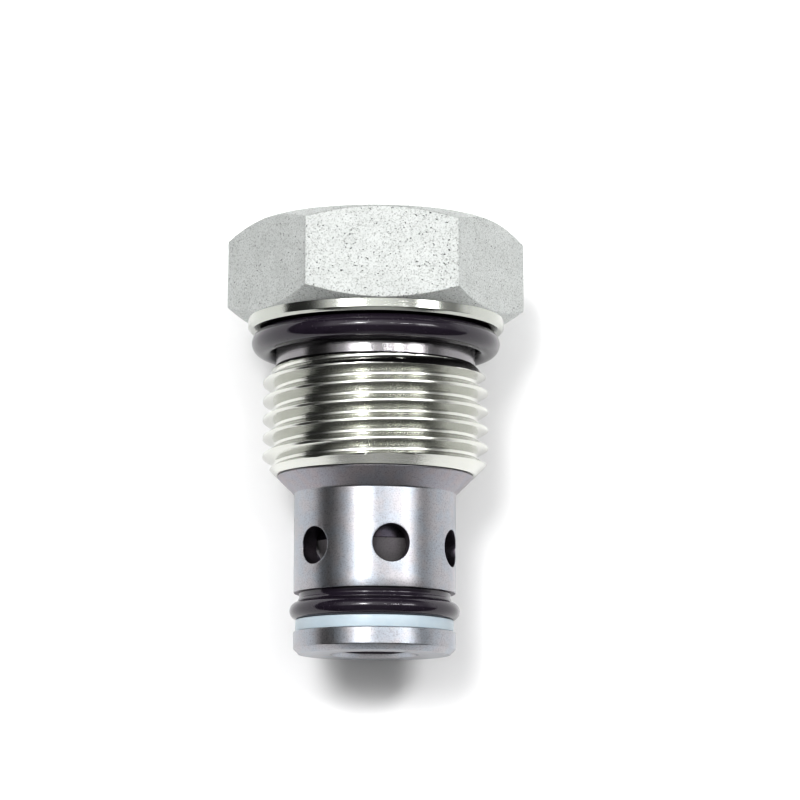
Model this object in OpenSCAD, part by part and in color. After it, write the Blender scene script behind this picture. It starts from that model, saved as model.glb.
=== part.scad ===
// Screw-in poppet check valve cartridge, size 10, with a 7/8-14 UNF thread and a 1 in hex.
// Each piece is drawn along Z, with the hex up and the nose down, and in_row_frame() lays it along +Y.
// Origin: on the valve's axis, in the plane of the collar's bearing face.

/* [Hex plug] */
// Width of the hex across its flats
hex_af = 25.4; // [24.5:0.1:27]
// Height of the hex's end face over the collar's bearing face
hex_top = 10.2; // [8:0.1:14]
// Angle of the chamfers at both ends of the hex
hex_chamfer_angle = 30; // [20:1:40]
// Height of the round collar under the hex
collar_h = 1.15; // [0.8:0.05:1.8]
// Edge break at the foot of the collar
collar_break = 0.3; // [0.1:0.05:0.5]
// Diameter of the neck that carries the head O-ring
neck_d = 19.6; // [19.2:0.1:19.8]
// Length of the neck
neck_len = 3.5; // [3:0.1:4.5]

/* [Thread] */
// Major diameter of the thread
thread_d = 22.12; // [21.9:0.01:22.22]
// Pitch of the thread
thread_pitch = 1.814; // [1.7:0.002:1.9]
// Distance from the bearing face to the plug's lower end
plug_depth = 14.3; // [13:0.1:15]
// Width of the flat on the thread's crest
crest_w = 0.26; // [0.2:0.01:0.32]
// Height of the crest over the bearing face, where the thread crosses the X axis
thread_phase = -6.09; // [-7:0.01:-5.2]

/* [Cage] */
// Diameter of the cage's shoulder, where it meets the plug
shoulder_d = 19.5; // [18:0.1:19.6]
// Diameter of the cage and of its nose land
nose_d = 15.8; // [15.6:0.01:15.87]
// Distance from the bearing face to the tip of the nose
nose_depth = 31.75; // [31.5:0.05:33]
// Diameter of each cross hole
cross_d = 3.6; // [2.5:0.1:4.4]
// Number of cross holes
cross_count = 6; // [4:1:8]
// Distance from the bearing face to the cross holes' axes
cross_depth = 21.6; // [21.2:0.1:22]
// Turn of the first cross hole from the hex's upper flat
cross_turn = 9; // [0:0.5:60]
// Diameter of the bore that guides the poppet
guide_d = 12.4; // [12.2:0.1:12.6]
// Diameter of the nose port
port_d = 7.9; // [7.6:0.1:8.4]
// Diameter of the throat at the poppet's seat
throat_d = 7.4; // [7:0.1:7.6]
// Distance from the bearing face to the seat's edge
seat_depth = 25.2; // [25:0.1:25.4]
// Edge break at the tip of the nose
nose_break = 0.55; // [0.3:0.05:0.7]

/* [Seals] */
// Section of the head O-ring
head_ring_w = 2.42; // [2.3:0.01:2.46]
// Distance from the bearing face to the top of the nose groove
groove_depth = 25.8; // [25.6:0.1:26]
// Diameter of the floor of the nose groove
groove_d = 13.1; // [12.9:0.05:13.3]
// Section of the nose O-ring
nose_ring_w = 1.74; // [1.7:0.01:1.78]
// Thickness of the black backup ring
upper_ring_h = 0.88; // [0.8:0.02:1]
// Outer diameter of the black backup ring
upper_ring_d = 15; // [14.8:0.1:15.4]
// Thickness of the pale backup ring
lower_ring_h = 1.18; // [1.1:0.02:1.3]
// Outer diameter of the pale backup ring
lower_ring_d = 15.4; // [15:0.1:15.5]

/* [Poppet and spring] */
// Lift of the poppet, from its seat to the plug's shoulder
stroke = 3; // [1.5:0.1:3.2]
// Radial clearance of the poppet in its guide bore
guide_clearance = 0.05; // [0.02:0.01:0.08]
// Half angle of the poppet's cone
cone_angle = 30; // [28:1:35]
// Diameter of the spring's wire
wire_d = 0.9; // [0.7:0.05:1.1]
// Outer diameter of the spring
spring_d = 8.7; // [8.4:0.1:8.9]
// Number of the spring's free turns
free_turns = 7; // [6:1:8]
// Thickness of the shim over the spring
shim_h = 0.6; // [0.3:0.1:1]

/* [Hidden] */
$fn = 96;
// Run of a cut past a face, so that no two faces coincide
eps = 0.5;
thread_angle = 30;
thread_root_d = 2 * (thread_d / 2 - 0.595 * thread_pitch);
thread_steps = 36;
collar_d = hex_af;
spigot_d = 16;
spigot_top = -6.2;
pocket_d = 10;
pocket_top = 4.5;
poppet_d = guide_d - 2 * guide_clearance;
poppet_top = spigot_top - stroke - 0.05;
poppet_tip_d = 6.2;
poppet_pocket_d = 9.4;
poppet_pocket_floor = -19;
// Gap left between the poppet's cone and the seat's edge
seat_gap = 0.03;
cone_base = -seat_depth + (poppet_d - throat_d) / 2 / tan(cone_angle) + seat_gap / sin(cone_angle);
cone_tip = cone_base - (poppet_d - poppet_tip_d) / 2 / tan(cone_angle);
vent_d = 1.4;
vent_z = cone_base - 1.6;
throat_len = 1.8;
groove_len = upper_ring_h + nose_ring_w + lower_ring_h;
coil_r = (spring_d - wire_d) / 2;
spring_low = poppet_pocket_floor;
spring_high = pocket_top - shim_h;

// Lays a piece drawn along Z along the row's Y axis, with the nose toward -Y.
module in_row_frame() {
    rotate([-90, 0, 0])
        children();
}

// Cylinder between two heights.
module rod(d, low, high) {
    translate([0, 0, low])
        cylinder(d = d, h = high - low);
}

// Flat ring between two heights.
module ring(outer, inner, low, high) {
    difference() {
        rod(outer, low, high);
        rod(inner, low - eps, high + eps);
    }
}

// O-ring of section w around a shaft of diameter inner, centred at height z.
module o_ring(inner, w, z) {
    rotate_extrude()
        translate([inner / 2 + w / 2, z])
            circle(d = w, $fn = 32);
}

// Hex with a conical chamfer at both ends.
module hex_head() {
    corner_r = hex_af / 2 / cos(30);
    reach = corner_r + 1;
    slope = tan(hex_chamfer_angle);
    end_break = 0.15;
    intersection() {
        translate([0, 0, collar_h - eps])
            cylinder(r = corner_r, h = hex_top - collar_h + eps, $fn = 6);
        rotate_extrude()
            polygon([
                [0, collar_h - eps],
                [hex_af / 2, collar_h - eps],
                [hex_af / 2, collar_h],
                [reach, collar_h + (reach - hex_af / 2) * slope],
                [reach, hex_top - end_break - (reach - hex_af / 2) * slope],
                [hex_af / 2 - end_break / slope, hex_top],
                [0, hex_top]
            ]);
    }
}

// One cross-section of the thread's ridge, as points on the helix at step i.
function ridge_section(i, r_in, r_out) =
    let (
        turn = 360 * i / thread_steps,
        z = thread_pitch * i / thread_steps,
        foot = crest_w / 2 + (r_out - r_in) * tan(thread_angle)
    )
    [for (p = [[r_in, -foot], [r_out, -crest_w / 2], [r_out, crest_w / 2], [r_in, foot]])
        [p.x * cos(turn), p.x * sin(turn), p.y + z]];

// Helical ridge of the thread, longer than the threaded length at both ends.
module thread_ridge() {
    turns = ceil((plug_depth - neck_len) / thread_pitch) + 2;
    last = turns * thread_steps;
    start = thread_phase - thread_pitch * ceil((plug_depth + thread_phase) / thread_pitch + 1);
    points = [for (i = [0:last]) each ridge_section(i, thread_root_d / 2 - 0.25, thread_d / 2)];
    sides = [for (i = [0:last - 1]) for (k = [0:3])
        each [
            [4 * i + k, 4 * i + (k + 1) % 4, 4 * i + 4 + k],
            [4 * i + (k + 1) % 4, 4 * i + 4 + (k + 1) % 4, 4 * i + 4 + k]
        ]];
    ends = [[3, 2, 1, 0], [for (k = [0:3]) 4 * last + k]];
    translate([0, 0, start])
        polyhedron(points, concat(sides, ends));
}

// Body of revolution that bounds the thread and the neck, with a chamfer at both ends of the thread.
module thread_envelope() {
    reach = thread_d / 2 + 0.4;
    run = reach - neck_d / 2;
    rotate_extrude()
        polygon([
            [0, collar_h / 2],
            [neck_d / 2, collar_h / 2],
            [neck_d / 2, -neck_len],
            [reach, -neck_len - run],
            [reach, -plug_depth + run],
            [neck_d / 2, -plug_depth],
            [0, -plug_depth]
        ]);
}

module hex_plug() {
    color("silver")
        in_row_frame()
            difference() {
                union() {
                    hex_head();
                    rotate_extrude()
                        polygon([
                            [0, 0],
                            [collar_d / 2 - collar_break, 0],
                            [collar_d / 2, collar_break],
                            [collar_d / 2, collar_h],
                            [0, collar_h]
                        ]);
                    intersection() {
                        union() {
                            rod(thread_root_d, -plug_depth - eps, collar_h - 0.2);
                            thread_ridge();
                        }
                        thread_envelope();
                    }
                }
                rod(spigot_d, -plug_depth - eps, spigot_top);
                rod(pocket_d, spigot_top - eps, pocket_top);
            }
}

module head_o_ring() {
    color("black")
        in_row_frame()
            o_ring(neck_d, head_ring_w, -head_ring_w / 2);
}

// Half outline of the cage, from the tip of the nose to the top of its spigot.
module cage_outline() {
    groove_low = -groove_depth - groove_len;
    shoulder_drop = (shoulder_d - nose_d) / 2;
    port_break = 0.4;
    polygon([
        [port_d / 2 + port_break, -nose_depth],
        [nose_d / 2 - nose_break, -nose_depth],
        [nose_d / 2, -nose_depth + nose_break],
        [nose_d / 2, groove_low],
        [groove_d / 2, groove_low],
        [groove_d / 2, -groove_depth],
        [nose_d / 2, -groove_depth],
        [nose_d / 2, -plug_depth - shoulder_drop],
        [shoulder_d / 2, -plug_depth],
        [spigot_d / 2, -plug_depth],
        [spigot_d / 2, spigot_top],
        [guide_d / 2, spigot_top],
        [guide_d / 2, -seat_depth],
        [throat_d / 2, -seat_depth],
        [throat_d / 2, -seat_depth - throat_len],
        [port_d / 2, -seat_depth - throat_len],
        [port_d / 2, -nose_depth + port_break]
    ]);
}

module cage() {
    color("lightsteelblue")
        in_row_frame()
            difference() {
                rotate_extrude()
                    cage_outline();
                for (k = [0:cross_count - 1])
                    rotate([0, 0, -90 + cross_turn + 360 / cross_count * k])
                        translate([guide_d / 4, 0, -cross_depth])
                            rotate([0, 90, 0])
                                cylinder(d = cross_d, h = nose_d);
            }
}

module upper_backup_ring() {
    color("dimgray")
        in_row_frame()
            ring(upper_ring_d, groove_d, -groove_depth - upper_ring_h, -groove_depth);
}

module nose_o_ring() {
    color("black")
        in_row_frame()
            o_ring(groove_d, nose_ring_w, -groove_depth - upper_ring_h - nose_ring_w / 2);
}

module lower_backup_ring() {
    low = -groove_depth - groove_len;
    color("lightblue")
        in_row_frame()
            ring(lower_ring_d, groove_d, low, low + lower_ring_h);
}

module poppet() {
    color("gray")
        in_row_frame()
            difference() {
                rotate_extrude()
                    polygon([
                        [0, cone_tip],
                        [poppet_tip_d / 2, cone_tip],
                        [poppet_d / 2, cone_base],
                        [poppet_d / 2, poppet_top - 0.3],
                        [poppet_d / 2 - 0.3, poppet_top],
                        [0, poppet_top]
                    ]);
                rod(poppet_pocket_d, poppet_pocket_floor, poppet_top + eps);
                rod(vent_d * 1.8, vent_z - vent_d, poppet_pocket_floor + eps);
                rotate([0, 0, -60 + cross_turn])
                    translate([0, 0, vent_z])
                        rotate([0, 90, 0])
                            cylinder(d = vent_d, h = poppet_d * 2, center = true);
            }
}

// Height of the coil's centreline after t turns: one closed turn at each end, free turns between.
function coil_z(t) =
    let (
        low = spring_low + wire_d / 2,
        high = spring_high - wire_d / 2,
        rise = wire_d * 1.02,
        pitch = (high - low - 2 * rise) / free_turns
    )
    t < 1 ? low + rise * t :
    t > free_turns + 1 ? high - rise * (free_turns + 2 - t) :
    low + rise + pitch * (t - 1);

module spring() {
    sides = 10;
    steps = 24;
    last = (free_turns + 2) * steps;
    points = [for (i = [0:last]) for (k = [0:sides - 1])
        let (
            turn = 360 * i / steps,
            r = coil_r + wire_d / 2 * cos(360 * k / sides)
        )
        [r * cos(turn), r * sin(turn), coil_z(i / steps) + wire_d / 2 * sin(360 * k / sides)]];
    walls = [for (i = [0:last - 1]) for (k = [0:sides - 1])
        let (a = sides * i + k, b = sides * i + (k + 1) % sides)
        each [[a, a + sides, b], [b, a + sides, b + sides]]];
    ends = [[for (k = [0:sides - 1]) k], [for (k = [0:sides - 1]) sides * last + sides - 1 - k]];
    color("slategray")
        in_row_frame()
            polyhedron(points, concat(walls, ends));
}

module spring_shim() {
    color("goldenrod")
        in_row_frame()
            ring(pocket_d - 0.3, spring_d * 0.55, pocket_top - shim_h, pocket_top);
}

hex_plug();
head_o_ring();
cage();
upper_backup_ring();
nose_o_ring();
lower_backup_ring();
poppet();
spring();
spring_shim();
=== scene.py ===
import math

import bmesh
import bpy
import numpy as np
from mathutils import Matrix, Vector


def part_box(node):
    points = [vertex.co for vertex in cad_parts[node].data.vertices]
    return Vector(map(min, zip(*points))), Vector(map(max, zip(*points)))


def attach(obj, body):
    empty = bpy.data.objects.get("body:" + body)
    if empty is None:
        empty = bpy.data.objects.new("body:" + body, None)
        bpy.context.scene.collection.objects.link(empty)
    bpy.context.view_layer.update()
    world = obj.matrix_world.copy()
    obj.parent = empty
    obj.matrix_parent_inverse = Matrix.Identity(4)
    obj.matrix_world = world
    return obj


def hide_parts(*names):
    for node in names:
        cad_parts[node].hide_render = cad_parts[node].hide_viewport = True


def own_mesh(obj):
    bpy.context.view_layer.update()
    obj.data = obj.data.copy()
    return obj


# Looks of the cartridge check valve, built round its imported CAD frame. Lengths are in mm until MM scales them
# for Blender. Named angles are in degrees, and a turn round the axis is in radians.

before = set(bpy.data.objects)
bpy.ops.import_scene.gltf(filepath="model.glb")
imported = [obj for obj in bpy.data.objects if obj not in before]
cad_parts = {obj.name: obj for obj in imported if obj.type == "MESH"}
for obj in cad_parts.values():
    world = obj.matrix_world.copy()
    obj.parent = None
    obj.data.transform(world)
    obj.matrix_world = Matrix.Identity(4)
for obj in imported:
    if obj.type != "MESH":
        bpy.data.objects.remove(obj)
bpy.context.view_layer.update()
scene = bpy.context.scene

MM = 0.001
FIXED = "valve_body"
MOVING = "poppet"


def limits(node):
    """A CAD node's lowest and highest corner, in mm."""
    low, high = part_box(node)
    return np.array(low) / MM, np.array(high) / MM


# Sizes of the real valve, from the CAD nodes' own boxes.
plug_low, plug_high = limits("hex_plug")
cage_low, cage_high = limits("cage")
head_low, head_high = limits("head_o_ring")
upper_low, upper_high = limits("upper_backup_ring")
nose_low, nose_high = limits("nose_o_ring")
lower_low, lower_high = limits("lower_backup_ring")
poppet_low, poppet_high = limits("poppet")
spring_low, spring_high = limits("spring")
shim_low, shim_high = limits("spring_shim")

# Hex plug
HEX_FLAT_R = plug_high[2]
HEX_TOP = plug_high[1]
HEX_EDGE_R = 0.22
CHAMFER_SLOPE = math.tan(math.radians(30))
END_BREAK = 0.15
COLLAR_H = 1.15
COLLAR_R = HEX_FLAT_R - 0.1
COLLAR_BREAK = 0.3
NECK_R = 9.8
NECK_LEN = 3.5
PLUG_END = plug_low[1]
SPIGOT_R = 8.0
SPIGOT_TOP = -6.2
POCKET_R = 5.0
POCKET_TOP = 4.5

# Thread
THREAD_R = 11.06
PITCH = 1.814
ROOT_R = THREAD_R - 0.595 * PITCH
CREST_W = 0.26
FLANK_SLOPE = math.tan(math.radians(30))
# Height of a crest where the thread crosses the X axis.
THREAD_PHASE = -6.09

# Cage
CAGE_TOP = cage_high[1]
NOSE_TIP = cage_low[1]
SHOULDER_R = cage_high[0]
NOSE_R = 7.9
GUIDE_R = 6.2
PORT_R = 3.95
PORT_BREAK = 0.4
THROAT_R = 3.7
THROAT_LEN = 1.8
SEAT_Y = -25.2
NOSE_BREAK = 0.55
GROOVE_R = 6.55
GROOVE_TOP = upper_high[1]
GROOVE_END = lower_low[1]
HOLE_R = 1.8
HOLE_Y = -21.6
HOLE_COUNT = 6
HOLE_TURN = 9.0
HOLE_BREAK = 0.06
# Half the height of the band of wall that each cross hole is drilled in.
BAND = 3.2

# Poppet
POPPET_TIP_R = 3.1
POPPET_CONE_Y = poppet_low[1] + (poppet_high[0] - POPPET_TIP_R) / math.tan(math.radians(30))
POPPET_POCKET_R = 4.7
BALANCE_PITCH = 2.2
BALANCE_DEPTH = 0.2
PASSAGE_R = 1.26
PASSAGE_LEN = 4.3
VENT_R = 0.7
VENT_DROP = 1.6
DRILL_REACH = 9

# Spring
WIRE_R = 0.45
FREE_TURNS = 7
GROUND_OFF = 0.12

# Rings
RING_GAP = 0.02
FLASH_H = 0.0015
SHIM_HOLE_R = 2.4

FLOOR_Z = plug_low[2]
LAMP_DISTANCE = 2500


# ---------------------------------------------------------------- meshes

def rounded(corners, steps=4, closed=False):
    """Outline through (radius, y, fillet) corners, each rounded by its fillet in a number of steps."""
    points = [np.array(c[:2], float) for c in corners]
    out = []
    for i, point in enumerate(points):
        if not closed and i in (0, len(points) - 1):
            out.append(point)
            continue
        back = points[i - 1] - point
        ahead = points[(i + 1) % len(points)] - point
        back_len, ahead_len = np.linalg.norm(back), np.linalg.norm(ahead)
        u, v = back / back_len, ahead / ahead_len
        half = math.acos(float(np.clip(u @ v, -1, 1))) / 2
        reach = min(corners[i][2] / math.tan(half), 0.45 * min(back_len, ahead_len))
        if math.pi / 2 - half < 1e-3 or reach < 1e-6:
            out.extend([point] * (steps + 1))
            continue
        fillet = reach * math.tan(half)
        middle = point + (u + v) / np.linalg.norm(u + v) * fillet / math.sin(half)
        first, last = point + u * reach - middle, point + v * reach - middle
        sweep = math.pi - 2 * half
        for k in range(steps + 1):
            t = k / steps
            arm = math.sin((1 - t) * sweep) * first + math.sin(t * sweep) * last
            out.append(middle + arm / math.sin(sweep))
    return np.array(out)


def around(outline, turns):
    """Points of an outline at each turn, as (turn, point, xyz). A turn of 0 faces +Z, a quarter turn +X."""
    outline = np.asarray(outline, float)
    if outline.ndim == 2:
        outline = np.repeat(outline[None], len(turns), axis=0)
    radius, height = outline[..., 0], outline[..., 1]
    turns = np.asarray(turns)[:, None]
    return np.stack([radius * np.sin(turns), height, radius * np.cos(turns)], axis=-1)


class Builder:
    """Collects grids of points and their faces, and makes one welded mesh of them."""

    def __init__(self):
        self.points, self.faces, self.count = [], [], 0

    def grid(self, points, wrap_rows=False, wrap_columns=False):
        """Adds a grid of quads. Rows are the first axis."""
        rows, columns = points.shape[:2]
        index = np.arange(rows * columns).reshape(rows, columns) + self.count
        if wrap_rows:
            index = np.vstack([index, index[:1]])
        if wrap_columns:
            index = np.hstack([index, index[:, :1]])
        self.add(points, index)
        return self

    def add(self, points, index):
        """Adds points and the quads between neighbours in an index table."""
        self.points.append(points.reshape(-1, 3))
        self.count += len(self.points[-1])
        quads = np.stack([index[:-1, :-1], index[1:, :-1], index[1:, 1:], index[:-1, 1:]], axis=-1)
        self.faces.append(quads.reshape(-1, 4))

    def mesh(self, name, sharp=40):
        """Welded object with its normals outward, in metres."""
        data = bpy.data.meshes.new(name)
        data.from_pydata(np.concatenate(self.points) * MM, [], np.concatenate(self.faces).tolist())
        shape = bmesh.new()
        shape.from_mesh(data)
        bmesh.ops.remove_doubles(shape, verts=shape.verts, dist=1e-6)
        bmesh.ops.dissolve_degenerate(shape, edges=shape.edges, dist=1e-7)
        bmesh.ops.recalc_face_normals(shape, faces=shape.faces)
        shape.to_mesh(data)
        shape.free()
        data.shade_smooth()
        data.set_sharp_from_angle(angle=math.radians(sharp))
        made = bpy.data.objects.new(name, data)
        scene.collection.objects.link(made)
        return made


def lathe(name, corners, columns=144, steps=4, sharp=40):
    """Ring turned from a closed outline."""
    turns = np.linspace(0, 2 * math.pi, columns, endpoint=False)
    points = around(rounded(corners, steps, closed=True), turns)
    return Builder().grid(points, wrap_rows=True, wrap_columns=True).mesh(name, sharp)


def even_normals(made):
    """Lets the flats keep flat shading beside their small fillets."""
    modifier = made.modifiers.new("even_normals", "WEIGHTED_NORMAL")
    modifier.keep_sharp = True
    modifier.weight = 80


def hex_radius(turn):
    """Distance from the axis to the hex's side at an angle, with its corners rounded."""
    from_flat = (turn + math.pi / 6) % (math.pi / 3) - math.pi / 6
    from_corner = abs(abs(from_flat) - math.pi / 6)
    middle = (HEX_FLAT_R - HEX_EDGE_R) / math.cos(math.pi / 6)
    half = HEX_EDGE_R * math.sin(math.pi / 6)
    if from_corner < math.atan2(half, middle + HEX_EDGE_R * math.cos(math.pi / 6)):
        across = middle * math.sin(from_corner)
        return middle * math.cos(from_corner) + math.sqrt(HEX_EDGE_R ** 2 - across ** 2)
    return HEX_FLAT_R / math.cos(from_flat)


def plug_turns():
    """Angles of the plug's columns: every two degrees, and closer at the hex's corners."""
    degrees = set(np.arange(0, 360, 2.0))
    for corner in range(30, 360, 60):
        degrees.update(corner + np.array([-1.2, -0.42, -0.21, 0, 0.21, 0.42, 1.2]))
    return np.radians(sorted(degrees))


def thread_tooth():
    """One tooth of the thread from the root below it, as (height over its crest, radius)."""
    flank_end = CREST_W / 2 + (THREAD_R - ROOT_R) * FLANK_SLOPE
    side = rounded([
        (0, THREAD_R, 0),
        (CREST_W / 2, THREAD_R, 0.07),
        ((CREST_W / 2 + flank_end) / 2, (THREAD_R + ROOT_R) / 2, 0),
        (flank_end, ROOT_R, 0.2),
        (PITCH / 2, ROOT_R, 0),
    ])
    extra = []
    for a, b in zip(side[:-1], side[1:]):
        extra.append(a)
        parts = max(1, round(np.linalg.norm(b - a) / 0.09))
        extra.extend(a + (b - a) * k / parts for k in range(1, parts))
    side = np.array(extra + [side[-1]])
    left = side[::-1][:-1] * [-1, 1]
    return np.vstack([left, side[:-1]])


def thread_limit(height):
    """Radius that the plug's two end chamfers leave at a height."""
    return NECK_R + np.minimum(-NECK_LEN - height, height - PLUG_END)


def add_thread(builder, turns):
    """Adds the threaded length, whose columns climb one pitch a turn."""
    tooth = thread_tooth()
    teeth = math.ceil((-NECK_LEN - PLUG_END) / PITCH) + 4
    rise = np.concatenate([tooth[:, 0] + PITCH * k for k in range(teeth)])
    radius = np.tile(tooth[:, 1], teeth)
    first = PLUG_END - 2 * PITCH
    first += (THREAD_PHASE - PITCH / 4 - first) % PITCH
    columns = []
    for turn in turns:
        height = np.clip(first + PITCH * turn / (2 * math.pi) + rise, PLUG_END, -NECK_LEN)
        spare = thread_limit(height) - radius
        for j in np.nonzero(spare[:-1] * spare[1:] < 0)[0]:
            share = spare[j] / (spare[j] - spare[j + 1])
            near = j if share < 0.5 else j + 1
            height[near] = height[j] + share * (height[j + 1] - height[j])
        columns.append(np.stack([np.minimum(radius, thread_limit(height)), height], axis=-1))
    points = around(np.array(columns), turns)
    rows, across = points.shape[:2]
    index = np.arange(rows * across).reshape(rows, across) + builder.count
    over = np.concatenate([index[0][len(tooth):], np.full(len(tooth), index[0][-1])])
    builder.add(points, np.vstack([index, over]))


def make_plug():
    """Hex plug: chamfered hex, collar, neck and thread, with the counterbore and the spring's pocket."""
    turns = plug_turns()
    end_r = HEX_FLAT_R - END_BREAK / CHAMFER_SLOPE
    head = []
    for turn in turns:
        side_r = hex_radius(turn)
        head.append(rounded([
            (0, HEX_TOP, 0),
            (end_r, HEX_TOP, 0.1),
            (side_r, HEX_TOP - (side_r - end_r) * CHAMFER_SLOPE, 0.15),
            (side_r, COLLAR_H + (side_r - COLLAR_R) * CHAMFER_SLOPE, 0.15),
            (COLLAR_R, COLLAR_H, 0.04),
            (COLLAR_R, COLLAR_BREAK, 0.08),
            (COLLAR_R - COLLAR_BREAK, 0, 0.08),
            (NECK_R, 0, 0.3),
            (NECK_R, -NECK_LEN, 0),
        ]))
    tail = rounded([
        (NECK_R, PLUG_END, 0),
        (SPIGOT_R, PLUG_END, 0.1),
        (SPIGOT_R, SPIGOT_TOP, 0.1),
        (POCKET_R, SPIGOT_TOP, 0.1),
        (POCKET_R, POCKET_TOP, 0.1),
        (0, POCKET_TOP, 0),
    ])
    builder = Builder()
    builder.grid(around(np.array(head), turns), wrap_rows=True)
    add_thread(builder, turns)
    builder.grid(around(tail, turns), wrap_rows=True)
    return builder.mesh("hex_plug_body")


def ring_points(radius, inset, offsets, wall_r, turn):
    """Points of a circle drilled square to the axis at a turn, on a wall of a given radius."""
    across = radius * np.cos(offsets)
    out = np.sqrt(wall_r ** 2 - across ** 2) - inset
    sideways = [math.cos(turn), 0, -math.sin(turn)]
    outward = [math.sin(turn), 0, math.cos(turn)]
    up = [0, 1, 0]
    heights = HOLE_Y + radius * np.sin(offsets)
    return np.outer(across, sideways) + np.outer(out, outward) + np.outer(heights, up)


def add_hole(builder, turn, per_side=24):
    """Adds one drilled cross hole, with broken edges, and the squares of wall round both its mouths."""
    offsets = (np.arange(4 * per_side) - per_side / 2) * 2 * math.pi / (4 * per_side)
    step = np.linspace(-1, 1, per_side, endpoint=False)
    square = np.concatenate([
        np.stack([np.ones(per_side), step], axis=-1),
        np.stack([-step, np.ones(per_side)], axis=-1),
        np.stack([-np.ones(per_side), -step], axis=-1),
        np.stack([step, -np.ones(per_side)], axis=-1),
    ])
    rows = []
    mouth_r = HOLE_R + HOLE_BREAK
    for wall_r, side in ((NOSE_R, 1), (GUIDE_R, -1)):
        wall = []
        mouth_turn = np.arcsin(mouth_r * np.cos(offsets) / wall_r)
        for t in (1, 0.75, 0.5, 0.3, 0.15, 0.05, 0):
            angle = turn + (1 - t) * mouth_turn + t * square[:, 0] * math.pi / HOLE_COUNT
            height = HOLE_Y + (1 - t) * mouth_r * np.sin(offsets) + t * square[:, 1] * BAND
            wall.append(np.stack([wall_r * np.sin(angle), height, wall_r * np.cos(angle)], axis=-1))
        for k in range(1, 5):
            bend = k / 4 * math.pi / 2
            radius = mouth_r - HOLE_BREAK * math.sin(bend)
            inset = side * HOLE_BREAK * (1 - math.cos(bend))
            wall.append(ring_points(radius, inset, offsets, wall_r, turn))
        rows.extend(wall if side > 0 else wall[::-1])
    builder.grid(np.array(rows), wrap_columns=True)


def make_cage():
    """Cage: spigot, cone, wall with six cross holes, ring groove and open nose, with the seat inside."""
    per_side = 24
    columns = HOLE_COUNT * per_side
    turns = math.radians(HOLE_TURN) + np.arange(columns) * 2 * math.pi / columns
    drop = SHOULDER_R - NOSE_R
    upper = rounded([
        (NOSE_R, HOLE_Y + BAND, 0),
        (NOSE_R, PLUG_END - drop, 0.25),
        (SHOULDER_R, PLUG_END, 0.12),
        (SPIGOT_R, PLUG_END, 0.1),
        (SPIGOT_R, CAGE_TOP, 0.2),
        (GUIDE_R, CAGE_TOP, 0.2),
        (GUIDE_R, HOLE_Y + BAND, 0),
    ])
    lower = rounded([
        (GUIDE_R, HOLE_Y - BAND, 0),
        (GUIDE_R, SEAT_Y, 0.08),
        (THROAT_R, SEAT_Y, 0.06),
        (THROAT_R, SEAT_Y - THROAT_LEN, 0.06),
        (PORT_R, SEAT_Y - THROAT_LEN, 0.06),
        (PORT_R, NOSE_TIP + PORT_BREAK, 0.06),
        (PORT_R + PORT_BREAK, NOSE_TIP, 0.06),
        (NOSE_R - NOSE_BREAK, NOSE_TIP, 0.1),
        (NOSE_R, NOSE_TIP + NOSE_BREAK, 0.15),
        (NOSE_R, GROOVE_END, 0.07),
        (GROOVE_R, GROOVE_END, 0.12),
        (GROOVE_R, GROOVE_TOP, 0.12),
        (NOSE_R, GROOVE_TOP, 0.07),
        (NOSE_R, HOLE_Y - BAND, 0),
    ])
    builder = Builder()
    for outline in (upper, lower):
        builder.grid(around(outline, turns), wrap_rows=True)
    for k in range(HOLE_COUNT):
        add_hole(builder, math.radians(HOLE_TURN + 360 / HOLE_COUNT * k), per_side)
    return builder.mesh("cage_body")


def make_o_ring(name, low, high):
    """Moulded O-ring with the fine flash line of its mould round the outside."""
    width = high[1] - low[1]
    degrees = sorted(set(np.arange(0, 360, 9.0)) | {3, 357, 1.5, 358.5})
    angles = np.radians(degrees)
    ridge = FLASH_H * np.clip(1 - np.minimum(angles, 2 * math.pi - angles) / math.radians(3), 0, 1)
    reach = width / 2 + ridge
    radius = high[0] - width / 2 + reach * np.cos(angles)
    height = (low[1] + high[1]) / 2 + reach * np.sin(angles)
    outline = np.stack([radius, height], axis=-1)
    turns = np.linspace(0, 2 * math.pi, 180, endpoint=False)
    return Builder().grid(around(outline, turns), wrap_rows=True, wrap_columns=True).mesh(name, sharp=60)


def make_flat_ring(name, low, high, inner_r, fillet):
    """Flat ring with soft edges."""
    return lathe(name, [
        (inner_r, low[1], fillet),
        (high[0], low[1], fillet),
        (high[0], high[1], fillet),
        (inner_r, high[1], fillet),
    ])


def make_upper_backup():
    """Black backup ring, its outer face hollowed so that only the lower lip stands full."""
    low, high = upper_low[1], upper_high[1]
    lip_r = upper_high[0]
    inner_r = GROOVE_R + RING_GAP
    return lathe("upper_backup", [
        (inner_r, low, 0.08),
        (lip_r, low, 0.08),
        (lip_r, low + 0.12, 0.06),
        (lip_r - 0.16, low + 0.45, 0.3),
        (lip_r - 0.06, high, 0.06),
        (inner_r, high, 0.08),
    ], sharp=60)


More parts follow.
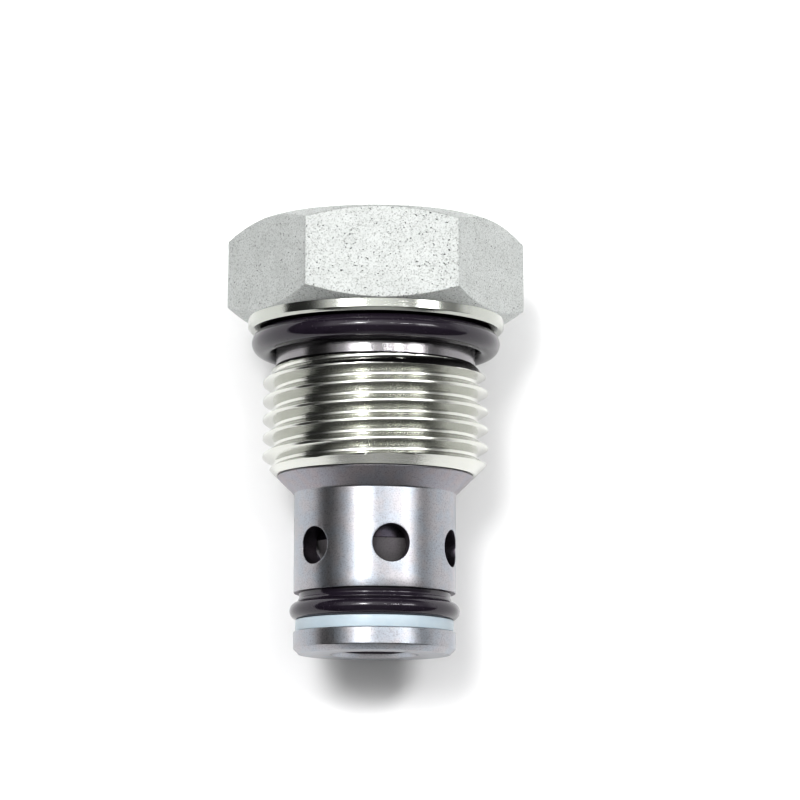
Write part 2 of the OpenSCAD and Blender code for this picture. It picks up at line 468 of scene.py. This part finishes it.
def make_poppet():
    """Guided poppet: a cup with a conical face, a chamfered rim and shallow balance grooves."""
    outer_r = poppet_high[0]
    top, tip = poppet_high[1], poppet_low[1]
    pocket_floor = spring_low[1]
    grooves = []
    for k in (1, 2, 3):
        y = top - BALANCE_PITCH * k
        grooves += [
            (outer_r, y + 0.25, 0.05),
            (outer_r - BALANCE_DEPTH, y + 0.2, 0.05),
            (outer_r - BALANCE_DEPTH, y - 0.2, 0.05),
            (outer_r, y - 0.25, 0.05),
        ]
    outline = rounded([
        (0, tip, 0),
        (POPPET_TIP_R, tip, 0.15),
        (outer_r, POPPET_CONE_Y, 0.15),
        *grooves[::-1],
        (outer_r, top - 0.3, 0.05),
        (outer_r - 0.3, top, 0.05),
        (POPPET_POCKET_R, top, 0.15),
        (POPPET_POCKET_R, pocket_floor, 0.3),
        (PASSAGE_R, pocket_floor, 0.1),
        (PASSAGE_R, pocket_floor - PASSAGE_LEN, 0.1),
        (0, pocket_floor - PASSAGE_LEN, 0),
    ])
    turns = np.linspace(0, 2 * math.pi, 144, endpoint=False)
    made = Builder().grid(around(outline, turns), wrap_rows=True).mesh("poppet_body")
    vent_y = POPPET_CONE_Y - VENT_DROP
    vent_turn = math.radians(HOLE_TURN + 180 / HOLE_COUNT)
    along = np.array([math.sin(vent_turn), 0, math.cos(vent_turn)])
    beside = np.array([math.cos(vent_turn), 0, -math.sin(vent_turn)])
    circle = np.linspace(0, 2 * math.pi, 32, endpoint=False)
    rim = np.outer(np.cos(circle), beside) + np.outer(np.sin(circle), [0, 1, 0])
    ends = ((0, -DRILL_REACH), (VENT_R, -DRILL_REACH), (VENT_R, DRILL_REACH), (0, DRILL_REACH))
    rows = [radius * rim + end * along + [0, vent_y, 0] for radius, end in ends]
    drill = Builder().grid(np.array(rows), wrap_columns=True).mesh("vent_drill")
    cut = made.modifiers.new("vent", "BOOLEAN")
    cut.object, cut.solver = drill, "EXACT"
    graph = bpy.context.evaluated_depsgraph_get()
    drilled = bpy.data.meshes.new_from_object(made.evaluated_get(graph))
    made.modifiers.clear()
    made.data = drilled
    bpy.data.objects.remove(drill)
    drilled.set_sharp_from_angle(angle=math.radians(40))
    return made


def make_spring():
    """Compression spring with closed ends ground flat."""
    sides, steps = 16, 36
    turns = FREE_TURNS + 2
    coil_r = spring_high[0] - WIRE_R
    low, high = spring_low[1] + WIRE_R, spring_high[1] - WIRE_R
    closed_pitch = 2 * WIRE_R * 1.02
    free_pitch = (high - low - 2 * closed_pitch) / FREE_TURNS
    t = np.linspace(0, turns, turns * steps + 1)
    height = np.where(t < 1, low + closed_pitch * t, low + closed_pitch + free_pitch * (t - 1))
    height = np.where(t > turns - 1, high - closed_pitch * (turns - t), height)
    around_wire = np.linspace(0, 2 * math.pi, sides, endpoint=False)
    radius = coil_r + WIRE_R * np.cos(around_wire)[None, :]
    rise = height[:, None] + WIRE_R * np.sin(around_wire)[None, :]
    rise = np.clip(rise, spring_low[1] + GROUND_OFF, spring_high[1] - GROUND_OFF)
    angle = (2 * math.pi * t)[:, None]
    points = np.stack([radius * np.cos(angle), rise, -radius * np.sin(angle)], axis=-1)
    ends = [np.repeat(points[k].mean(axis=0)[None], sides, axis=0)[None] for k in (0, -1)]
    points = np.concatenate([ends[0], points, ends[1]])
    return Builder().grid(points, wrap_columns=True).mesh("spring_coil", sharp=50)


# ---------------------------------------------------------------- materials

def node(tree, kind, inputs=None, **settings):
    """Adds a node. An input is a value, or another node's socket to link."""
    made = tree.nodes.new(kind)
    for key, value in settings.items():
        setattr(made, key, value)
    for key, value in (inputs or {}).items():
        if isinstance(value, bpy.types.NodeSocket):
            tree.links.new(value, made.inputs[key])
        else:
            made.inputs[key].default_value = value
    return made


def calc(tree, operation, a, b=0.0):
    """Math node's result."""
    return node(tree, "ShaderNodeMath", {0: a, 1: b}, operation=operation).outputs[0]


def remap(tree, value, low, high, to_low=0.0, to_high=1.0):
    """Smooth map of a value from one range to another."""
    inputs = {"Value": value, "From Min": low, "From Max": high, "To Min": to_low, "To Max": to_high}
    return node(tree, "ShaderNodeMapRange", inputs, interpolation_type="SMOOTHSTEP").outputs[0]


def blend_colours(tree, share, a, b):
    """Colour between a and b."""
    made = node(tree, "ShaderNodeMix", {"Factor": share}, data_type="RGBA")
    for socket, value in ((made.inputs[6], a), (made.inputs[7], b)):
        if isinstance(value, bpy.types.NodeSocket):
            tree.links.new(value, socket)
        else:
            socket.default_value = (*value, 1)
    return made.outputs[2]


def noise(tree, place, scale, detail=3.0, roughness=0.55, stretch=None):
    """Noise texture over a place in mm, so that its scale is in features a mm."""
    if stretch:
        place = node(tree, "ShaderNodeVectorMath", {0: place, 1: stretch}, operation="MULTIPLY").outputs[0]
    inputs = {"Vector": place, "Scale": scale, "Detail": detail, "Roughness": roughness}
    return node(tree, "ShaderNodeTexNoise", inputs).outputs[0]


def start_material(name, metallic, roughness, **constants):
    """New material, its node tree, its shader and a point's place in mm."""
    material = bpy.data.materials.new(name)
    material.use_nodes = True
    tree = material.node_tree
    shader = tree.nodes["Principled BSDF"]
    shader.inputs["Metallic"].default_value = metallic
    shader.inputs["Roughness"].default_value = roughness
    for key, value in constants.items():
        shader.inputs[key].default_value = value
    coordinates = tree.nodes.new("ShaderNodeTexCoord").outputs["Object"]
    in_mm = node(tree, "ShaderNodeVectorMath", {0: coordinates, "Scale": 1 / MM}, operation="SCALE")
    return material, tree, shader, in_mm.outputs[0]


def turned_place(tree, place):
    """(angle, height, radius) of a place round the valve's axis, to lay marks along or round it."""
    parts = node(tree, "ShaderNodeSeparateXYZ", {0: place}).outputs
    angle = calc(tree, "ARCTAN2", parts[0], parts[2])
    square_x = calc(tree, "MULTIPLY", parts[0], parts[0])
    square_z = calc(tree, "MULTIPLY", parts[2], parts[2])
    across = calc(tree, "SQRT", calc(tree, "ADD", square_x, square_z))
    return angle, parts[1], across


def turning_marks(tree, place, scale, swing=0.15):
    """Fine rings left by a lathe, which vary along the axis and hardly round it."""
    angle, height, across = turned_place(tree, place)
    drift = calc(tree, "MULTIPLY", calc(tree, "SINE", angle), swing)
    rings = node(tree, "ShaderNodeCombineXYZ", {0: drift, 1: height, 2: across}).outputs[0]
    return noise(tree, rings, scale, detail=4, roughness=0.7)


def bump(tree, shader, height, depth):
    """Bump of a depth in mm."""
    made = node(tree, "ShaderNodeBump", {"Height": height, "Distance": depth * MM, "Strength": 1.0})
    tree.links.new(made.outputs[0], shader.inputs["Normal"])


def hex_zinc():
    """Satin zinc plate over a drawn hex bar, grainy and finely pitted."""
    material, tree, shader, place = start_material("satin_zinc", 0.88, 0.6)
    cloud = noise(tree, place, 0.5, detail=3)
    grain = noise(tree, place, 6.5, detail=4, roughness=0.75)
    pits = remap(tree, noise(tree, place, 4.2, detail=2, roughness=0.6), 0.655, 0.70)
    tint = blend_colours(tree, remap(tree, cloud, 0.3, 0.7), (0.62, 0.635, 0.625), (0.66, 0.675, 0.665))
    tint = blend_colours(tree, remap(tree, grain, 0.28, 0.54, 0.75, 0.0), tint, (0.17, 0.18, 0.17))
    tint = blend_colours(tree, calc(tree, "MULTIPLY", pits, 0.75), tint, (0.09, 0.09, 0.10))
    tree.links.new(tint, shader.inputs["Base Color"])
    rough = calc(tree, "ADD", remap(tree, grain, 0.3, 0.7, 0.54, 0.66), calc(tree, "MULTIPLY", pits, 0.3))
    tree.links.new(rough, shader.inputs["Roughness"])
    bump(tree, shader, calc(tree, "SUBTRACT", grain, pits), 0.02)
    return material


def turned_zinc(name, tone, low, high):
    """Bright zinc plate over turned steel, with fine rings and a grain that is faintly yellow."""
    material, tree, shader, place = start_material(name, 1.0, (low + high) / 2)
    marks = turning_marks(tree, place, 9)
    grain = noise(tree, place, 5, detail=4, roughness=0.7)
    warm = tuple(c * k for c, k in zip(tone, (1.0, 1.0, 0.96)))
    dark = tuple(0.45 * c for c in tone)
    tint = blend_colours(tree, remap(tree, grain, 0.4, 0.6), tone, warm)
    tint = blend_colours(tree, remap(tree, grain, 0.2, 0.42, 0.5, 0.0), tint, dark)
    tree.links.new(tint, shader.inputs["Base Color"])
    tree.links.new(remap(tree, marks, 0.3, 0.7, low, high), shader.inputs["Roughness"])
    bump(tree, shader, calc(tree, "ADD", marks, calc(tree, "MULTIPLY", grain, 0.7)), 0.005)
    return material


def ground_steel(name, tone, low, high, depth):
    """Bare steel, ground round its axis, with a fine grain."""
    material, tree, shader, place = start_material(name, 1.0, (low + high) / 2)
    marks = turning_marks(tree, place, 12)
    cloud = noise(tree, place, 0.6, detail=2)
    grain = noise(tree, place, 7, detail=3, roughness=0.7)
    warm = tuple(c * k for c, k in zip(tone, (1.03, 0.99, 0.99)))
    cool = tuple(c * k for c, k in zip(tone, (0.95, 0.99, 1.04)))
    tint = blend_colours(tree, remap(tree, cloud, 0.35, 0.65), warm, cool)
    dark = tuple(0.6 * c for c in tone)
    tint = blend_colours(tree, remap(tree, grain, 0.3, 0.56, 0.8, 0.0), tint, dark)
    tree.links.new(tint, shader.inputs["Base Color"])
    tree.links.new(remap(tree, grain, 0.3, 0.7, low, high), shader.inputs["Roughness"])
    bump(tree, shader, calc(tree, "ADD", calc(tree, "MULTIPLY", marks, 0.35), grain), depth)
    return material


def seat_steel():
    """Dull grey steel of the poppet's lapped cone, which scatters light."""
    material, tree, shader, place = start_material("seat_steel", 0.6, 0.38)
    grain = noise(tree, place, 6, detail=4, roughness=0.7)
    tint = blend_colours(tree, grain, (0.20, 0.19, 0.20), (0.42, 0.40, 0.41))
    tree.links.new(tint, shader.inputs["Base Color"])
    bump(tree, shader, grain, 0.01)
    return material


def rubber(name, dust):
    """Black nitrile rubber, a little glossy with oil, with fine moulding marks."""
    material, tree, shader, place = start_material(name, 0.0, 0.1, IOR=1.7)
    cloud = noise(tree, place, 0.9, detail=3)
    grain = noise(tree, place, 8, detail=3)
    specks = remap(tree, noise(tree, place, 3.6, detail=1), 0.70, 0.74)
    tint = blend_colours(tree, cloud, (0.016, 0.012, 0.019), (0.026, 0.019, 0.031))
    tint = blend_colours(tree, calc(tree, "MULTIPLY", specks, dust), tint, (0.25, 0.24, 0.24))
    tree.links.new(tint, shader.inputs["Base Color"])
    tree.links.new(remap(tree, cloud, 0.3, 0.7, 0.05, 0.1), shader.inputs["Roughness"])
    bump(tree, shader, calc(tree, "ADD", grain, cloud), 0.004)
    return material


def pale_plastic():
    """Pale blue-white plastic, slightly waxy, with turned rings."""
    material, tree, shader, place = start_material("pale_plastic", 0.0, 0.35)
    shader.inputs["Subsurface Weight"].default_value = 0.25
    shader.inputs["Subsurface Radius"].default_value = (0.6, 0.8, 1.0)
    shader.inputs["Subsurface Scale"].default_value = 0.3 * MM
    marks = turning_marks(tree, place, 9)
    cloud = noise(tree, place, 0.9, detail=3)
    tint = blend_colours(tree, cloud, (0.37, 0.435, 0.48), (0.43, 0.485, 0.515))
    tree.links.new(tint, shader.inputs["Base Color"])
    tree.links.new(remap(tree, marks, 0.3, 0.7, 0.28, 0.42), shader.inputs["Roughness"])
    bump(tree, shader, marks, 0.008)
    return material


def spring_wire():
    """Drawn spring wire with a dark, slightly streaked surface."""
    material, tree, shader, place = start_material("spring_wire", 1.0, 0.35)
    streaks = noise(tree, place, 4, detail=4)
    tint = blend_colours(tree, streaks, (0.30, 0.29, 0.28), (0.46, 0.45, 0.44))
    tree.links.new(tint, shader.inputs["Base Color"])
    tree.links.new(remap(tree, streaks, 0.3, 0.7, 0.25, 0.42), shader.inputs["Roughness"])
    bump(tree, shader, streaks, 0.01)
    return material


def table_top():
    """Plain white table."""
    material, _, shader, _ = start_material("white_table", 0.0, 0.7)
    shader.inputs["Specular IOR Level"].default_value = 0.2
    shader.inputs["Base Color"].default_value = (0.80, 0.80, 0.802, 1)
    return material


# ---------------------------------------------------------------- the valve

def dress(made, materials, body, cad_node):
    """Gives a piece its materials and its place in the frame."""
    for material in materials:
        made.data.materials.append(material)
    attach(made, body)
    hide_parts(cad_node)


def face_place(face):
    """A face's height along the axis and distance from it."""
    centre = face.center / MM
    return centre.y, math.hypot(centre.x, centre.z)


def add_plug():
    """Adds the hex plug: satin hex, bright collar, a neck darkened by painted shade and a painted reflection of
    the head O-ring, and bright thread.
    """
    plug = make_plug()
    materials = [
        hex_zinc(),
        turned_zinc("collar_zinc", (0.47, 0.48, 0.46), 0.09, 0.16),
        turned_zinc("thread_zinc", (0.60, 0.605, 0.585), 0.16, 0.24),
        # The neck's dark, faintly purple tone is painted shade and a painted reflection of the black head
        # O-ring above it.
        turned_zinc("neck_painted_shade_zinc", (0.28, 0.272, 0.285), 0.14, 0.22),
    ]
    satin, collar, thread, neck = range(4)
    dress(plug, materials, FIXED, "hex_plug")
    for face in plug.data.polygons:
        height, across = face_place(face)
        in_collar_or_inside = height < COLLAR_H or across < COLLAR_R and height < HEX_TOP - 1
        on_neck = -NECK_LEN < height < -0.05 and abs(across - NECK_R) < 0.1
        if on_neck:
            # Painted shade and painted O-ring reflection on the neck.
            face.material_index = neck
        elif in_collar_or_inside:
            face.material_index = collar if height > -0.05 else thread
        else:
            face.material_index = satin
    even_normals(plug)


def add_cage():
    """Adds the cage: ground wall and nose, turned cone and spigot, and a bore darkened by painted shade."""
    cage = make_cage()
    materials = [
        ground_steel("cage_steel", (0.40, 0.405, 0.42), 0.28, 0.38, 0.005),
        ground_steel("turned_steel", (0.38, 0.365, 0.38), 0.34, 0.46, 0.006),
        # The bore's darker, purplish tone is painted shade inside the bore, the port and the cross holes.
        ground_steel("bore_painted_shade_steel", (0.22, 0.20, 0.23), 0.28, 0.40, 0.006),
    ]
    ground, turned, bore = range(3)
    dress(cage, materials, FIXED, "cage")
    for face in cage.data.polygons:
        height, across = face_place(face)
        if across < NOSE_R - 0.25 and height > NOSE_TIP + PORT_BREAK:
            # Painted shade on the walls of the bore, the port and the holes.
            face.material_index = bore
        elif height > PLUG_END - (SHOULDER_R - NOSE_R) and across > NOSE_R + 0.05:
            face.material_index = turned
        else:
            face.material_index = ground
    even_normals(cage)


def add_rings():
    """Adds the O-rings and the backup rings."""
    head = make_o_ring("head_seal", head_low, head_high)
    dress(head, [rubber("head_rubber", 0.15)], FIXED, "head_o_ring")
    upper = make_upper_backup()
    dress(upper, [rubber("backup_rubber", 0.05)], FIXED, "upper_backup_ring")
    nose = make_o_ring("nose_seal", nose_low, nose_high)
    dress(nose, [rubber("nose_rubber", 0.1)], FIXED, "nose_o_ring")
    lower = make_flat_ring("lower_backup", lower_low, lower_high, GROOVE_R + RING_GAP, 0.1)
    dress(lower, [pale_plastic()], FIXED, "lower_backup_ring")


def add_poppet():
    """Adds the sliding poppet: a guided body whose near-black tone is painted shade, and a pale lapped cone."""
    poppet = make_poppet()
    # The body's near-black tone is painted shade, seen through the cross holes.
    painted_shade_body_steel = ground_steel("poppet_steel", (0.10, 0.09, 0.105), 0.26, 0.38, 0.005)
    dress(poppet, [painted_shade_body_steel, seat_steel()], MOVING, "poppet")
    for face in poppet.data.polygons:
        height, _ = face_place(face)
        face.material_index = int(height < POPPET_CONE_Y - 0.1)


def add_spring():
    """Adds the spring and the shim over it; the coil keeps one length as the poppet lifts."""
    wire = spring_wire()
    coil = make_spring()
    dress(coil, [wire], FIXED, "spring")
    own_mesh(coil)
    spacer = make_flat_ring("spring_spacer", shim_low, shim_high, SHIM_HOLE_R, 0.08)
    dress(spacer, [wire], FIXED, "spring_shim")


add_plug()
add_cage()
add_rings()
add_poppet()
add_spring()


# ---------------------------------------------------------------- floor, light and camera

def make_floor():
    """Wide, plain table top under the hex's lower flat."""
    rings = np.array([[r, 0] for r in (0, 60, 120, 300, 900, 2500)], float)
    turns = np.linspace(0, 2 * math.pi, 96, endpoint=False)
    flat = around(rings, turns)[..., [0, 2, 1]] + [0, 0, FLOOR_Z]
    floor = Builder().grid(flat, wrap_rows=True).mesh("table")
    if floor.data.polygons[0].normal.z < 0:
        floor.data.flip_normals()
    floor.data.materials.append(table_top())


def window(tree, value, low, high, soft):
    """1 between low and high, falling to 0 over a soft edge."""
    enter = remap(tree, value, low - soft, low + soft)
    leave = remap(tree, value, high - soft, high + soft, 1.0, 0.0)
    return calc(tree, "MULTIPLY", enter, leave)


def light_room():
    """Room light: pale panels overhead, dim elsewhere, with a low glow beyond the nose."""
    world = bpy.data.worlds.new("studio")
    scene.world = world
    world.use_nodes = True
    tree = world.node_tree
    tree.nodes.clear()
    direction = tree.nodes.new("ShaderNodeTexCoord").outputs["Generated"]
    parts = node(tree, "ShaderNodeSeparateXYZ", {0: direction}).outputs
    side = calc(tree, "MULTIPLY", calc(tree, "ARCTAN2", parts[0], parts[2]), 180 / math.pi)
    # Brightness against the angle from straight up, toward -X below zero and +X above it.
    panels = [
        (-105, 0.08), (-78, 0.08), (-64, 0.12), (-54, 0.5), (-44, 1.3), (-24, 1.3),
        (-8, 1.7), (-4, 1.7), (8, 1.5), (24, 1.1), (32, 0.85), (40, 0.9),
        (52, 0.85), (62, 0.6), (72, 0.5), (84, 1.3), (105, 1.3),
    ]
    peak = max(v for _, v in panels)
    share = calc(tree, "ADD", calc(tree, "MULTIPLY", side, 1 / 360), 0.5)
    ramp = node(tree, "ShaderNodeValToRGB", {0: share})
    stops = ramp.color_ramp.elements
    while len(stops) < len(panels):
        stops.new(0.5)
    for stop, (angle, value) in zip(stops, panels):
        stop.position = angle / 360 + 0.5
        stop.color = (value / peak, value / peak, value / peak, 1)
    level = calc(tree, "MULTIPLY", ramp.outputs[0], peak)
    # The panels span from overhead to about 40 degrees toward the hex's end, and the room is dim beyond them.
    overhead = window(tree, parts[1], -0.12, 0.62, 0.12)
    level = calc(tree, "MULTIPLY", level, calc(tree, "ADD", calc(tree, "MULTIPLY", overhead, 0.9), 0.1))
    glow = remap(tree, parts[1], -0.88, -0.98, 0.0, 0.6)
    level = calc(tree, "ADD", level, glow)
    room = node(tree, "ShaderNodeBackground", {"Strength": level})
    room.inputs["Color"].default_value = (1.0, 1.0, 1.0, 1)
    backdrop = node(tree, "ShaderNodeBackground", {"Strength": 0.94})
    seen = tree.nodes.new("ShaderNodeLightPath").outputs["Is Camera Ray"]
    mixed = node(tree, "ShaderNodeMixShader", {0: seen, 1: room.outputs[0], 2: backdrop.outputs[0]})
    output = tree.nodes.new("ShaderNodeOutputWorld")
    tree.links.new(mixed.outputs[0], output.inputs["Surface"])


def add_lamp(name, side, toward, width, length, radiance, mirrored):
    """Soft lamp over the valve, leaning to +X and +Y by two angles, with its width and length in degrees too.

    A mirrored lamp shows only in the gloss of metal and rubber, and the others light only matt surfaces.
    """
    data = bpy.data.lights.new(name, "AREA")
    data.shape = "RECTANGLE"
    data.size = 2 * LAMP_DISTANCE * math.tan(math.radians(width / 2)) * MM
    data.size_y = 2 * LAMP_DISTANCE * math.tan(math.radians(length / 2)) * MM
    data.energy = radiance * math.pi * data.size * data.size_y
    lamp = bpy.data.objects.new(name, data)
    scene.collection.objects.link(lamp)
    lean = Vector((math.tan(math.radians(side)), math.tan(math.radians(toward)), 1))
    spot = lean.normalized() * LAMP_DISTANCE
    lamp.location = spot * MM
    lamp.rotation_euler = (-spot).to_track_quat("-Z", "Y").to_euler()
    lamp.visible_camera = False
    lamp.visible_glossy = mirrored
    lamp.visible_diffuse = not mirrored


def place_camera():
    """Camera nearly over the valve, a little beyond its nose and a little to its left."""
    height, back = 300.0, -53.5
    aim_y, aside = -6.7, 2.4
    swing, roll = -3.0, 0.2
    data = bpy.data.cameras.new("camera")
    data.sensor_width = 36.0
    data.lens = 139.0
    camera = bpy.data.objects.new("camera", data)
    scene.collection.objects.link(camera)
    scene.camera = camera
    turn = math.radians(swing)
    right = Vector((math.cos(turn), 0, -math.sin(turn)))
    over = Vector((math.sin(turn), 0, math.cos(turn)))
    location = right * aside + over * height + Vector((0, back, 0))
    aim = right * aside + Vector((0, aim_y, 0))
    look = (aim - location).normalized()
    x_axis = right
    y_axis = x_axis.cross(look)
    lean = math.radians(roll)
    x_rolled = x_axis * math.cos(lean) + y_axis * math.sin(lean)
    y_rolled = y_axis * math.cos(lean) - x_axis * math.sin(lean)
    camera.matrix_world = Matrix((
        (x_rolled.x, y_rolled.x, -look.x, location.x * MM),
        (x_rolled.y, y_rolled.y, -look.y, location.y * MM),
        (x_rolled.z, y_rolled.z, -look.z, location.z * MM),
        (0, 0, 0, 1),
    ))
    data.clip_start, data.clip_end = 0.01, 10


make_floor()
light_room()
add_lamp("left_key", side=-17.5, toward=14.5, width=16, length=20, radiance=26, mirrored=False)
add_lamp("right_key", side=18, toward=14.5, width=8, length=18, radiance=38, mirrored=False)
add_lamp("fill", side=0, toward=0, width=70, length=50, radiance=0.4, mirrored=False)
add_lamp("left_patch", side=-21, toward=15, width=32, length=18, radiance=3.2, mirrored=True)
add_lamp("right_patch", side=44, toward=14, width=18, length=18, radiance=5.2, mirrored=True)
add_lamp("left_spot", side=-17, toward=13.5, width=6, length=10, radiance=26, mirrored=True)
add_lamp("right_spot", side=25, toward=13.5, width=4, length=10, radiance=20, mirrored=True)
add_lamp("small_patch", side=11.5, toward=13, width=2.5, length=4, radiance=30, mirrored=True)
place_camera()
scene.view_settings.view_transform = "Standard"
scene.view_settings.gamma = 0.75
